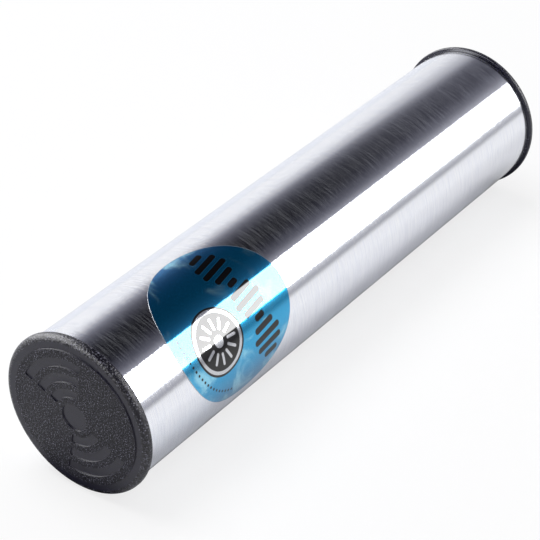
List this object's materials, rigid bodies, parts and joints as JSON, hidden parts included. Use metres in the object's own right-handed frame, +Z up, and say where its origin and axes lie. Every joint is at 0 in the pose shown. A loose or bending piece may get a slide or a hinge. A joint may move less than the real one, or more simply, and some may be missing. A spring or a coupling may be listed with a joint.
{
  "type": "ganza shaker",
  "caption": "Hand shaker: brushed aluminium tube closed by flanged black push-in caps, with a round blue film label and loose steel shot that runs from end to end inside.",
  "frame": {"origin": "middle of the tube's axis, half way between the two cap faces", "axes": "+X along the tube from the left cap to the right cap, +Z up with the tube lying on its side, -Y towards the side that the label faces"},
  "size_m": [0.2234, 0.0532, 0.0534],
  "materials": {
    "brushed_aluminium": "brushed round the tube",
    "black_plastic": "moulded, grained",
    "blue_film": "printed, glossy",
    "steel_shot": "tumbled"
  },
  "bodies": {
    "shell": {"tube": "brushed_aluminium", "left_cap": "black_plastic", "right_cap": "black_plastic", "label_film": "blue_film"},
    "shot_row_01": {"shot_row_01": "steel_shot"},
    "shot_row_02": {"shot_row_02": "steel_shot"},
    "shot_row_03": {"shot_row_03": "steel_shot"},
    "shot_row_04": {"shot_row_04": "steel_shot"},
    "shot_row_05": {"shot_row_05": "steel_shot"},
    "shot_row_06": {"shot_row_06": "steel_shot"},
    "shot_row_07": {"shot_row_07": "steel_shot"},
    "shot_row_08": {"shot_row_08": "steel_shot"},
    "shot_row_09": {"shot_row_09": "steel_shot"},
    "shot_row_10": {"shot_row_10": "steel_shot"},
    "shot_row_11": {"shot_row_11": "steel_shot"},
    "shot_row_12": {"shot_row_12": "steel_shot"},
    "shot_row_13": {"shot_row_13": "steel_shot"},
    "shot_row_14": {"shot_row_14": "steel_shot"},
    "shot_row_15": {"shot_row_15": "steel_shot"},
    "shot_row_16": {"shot_row_16": "steel_shot"},
    "shot_row_17": {"shot_row_17": "steel_shot"}
  },
  "joints": [
    {"name": "shot_row_01_run", "type": "slide", "parent": "shell", "child": "shot_row_01", "axis": [1, 0, 0], "range_m": [-0.0787, 0.0766]},
    {"name": "shot_row_02_run", "type": "slide", "parent": "shell", "child": "shot_row_02", "axis": [1, 0, 0], "range_m": [-0.0766, 0.0787]},
    {"name": "shot_row_03_run", "type": "slide", "parent": "shell", "child": "shot_row_03", "axis": [1, 0, 0], "range_m": [-0.0787, 0.0766]},
    {"name": "shot_row_04_run", "type": "slide", "parent": "shell", "child": "shot_row_04", "axis": [1, 0, 0], "range_m": [-0.0766, 0.0787]},
    {"name": "shot_row_05_run", "type": "slide", "parent": "shell", "child": "shot_row_05", "axis": [1, 0, 0], "range_m": [-0.0787, 0.0766]},
    {"name": "shot_row_06_run", "type": "slide", "parent": "shell", "child": "shot_row_06", "axis": [1, 0, 0], "range_m": [-0.0766, 0.0787]},
    {"name": "shot_row_07_run", "type": "slide", "parent": "shell", "child": "shot_row_07", "axis": [1, 0, 0], "range_m": [-0.0787, 0.0766]},
    {"name": "shot_row_08_run", "type": "slide", "parent": "shell", "child": "shot_row_08", "axis": [1, 0, 0], "range_m": [-0.0766, 0.0787]},
    {"name": "shot_row_09_run", "type": "slide", "parent": "shell", "child": "shot_row_09", "axis": [1, 0, 0], "range_m": [-0.0787, 0.0766]},
    {"name": "shot_row_10_run", "type": "slide", "parent": "shell", "child": "shot_row_10", "axis": [1, 0, 0], "range_m": [-0.0948, 0.0927]},
    {"name": "shot_row_11_run", "type": "slide", "parent": "shell", "child": "shot_row_11", "axis": [1, 0, 0], "range_m": [-0.0927, 0.0948]},
    {"name": "shot_row_12_run", "type": "slide", "parent": "shell", "child": "shot_row_12", "axis": [1, 0, 0], "range_m": [-0.0948, 0.0927]},
    {"name": "shot_row_13_run", "type": "slide", "parent": "shell", "child": "shot_row_13", "axis": [1, 0, 0], "range_m": [-0.0927, 0.0948]},
    {"name": "shot_row_14_run", "type": "slide", "parent": "shell", "child": "shot_row_14", "axis": [1, 0, 0], "range_m": [-0.0948, 0.0927]},
    {"name": "shot_row_15_run", "type": "slide", "parent": "shell", "child": "shot_row_15", "axis": [1, 0, 0], "range_m": [-0.0927, 0.0948]},
    {"name": "shot_row_16_run", "type": "slide", "parent": "shell", "child": "shot_row_16", "axis": [1, 0, 0], "range_m": [-0.0969, 0.0948]},
    {"name": "shot_row_17_run", "type": "slide", "parent": "shell", "child": "shot_row_17", "axis": [1, 0, 0], "range_m": [-0.0948, 0.0969]}
  ]
}
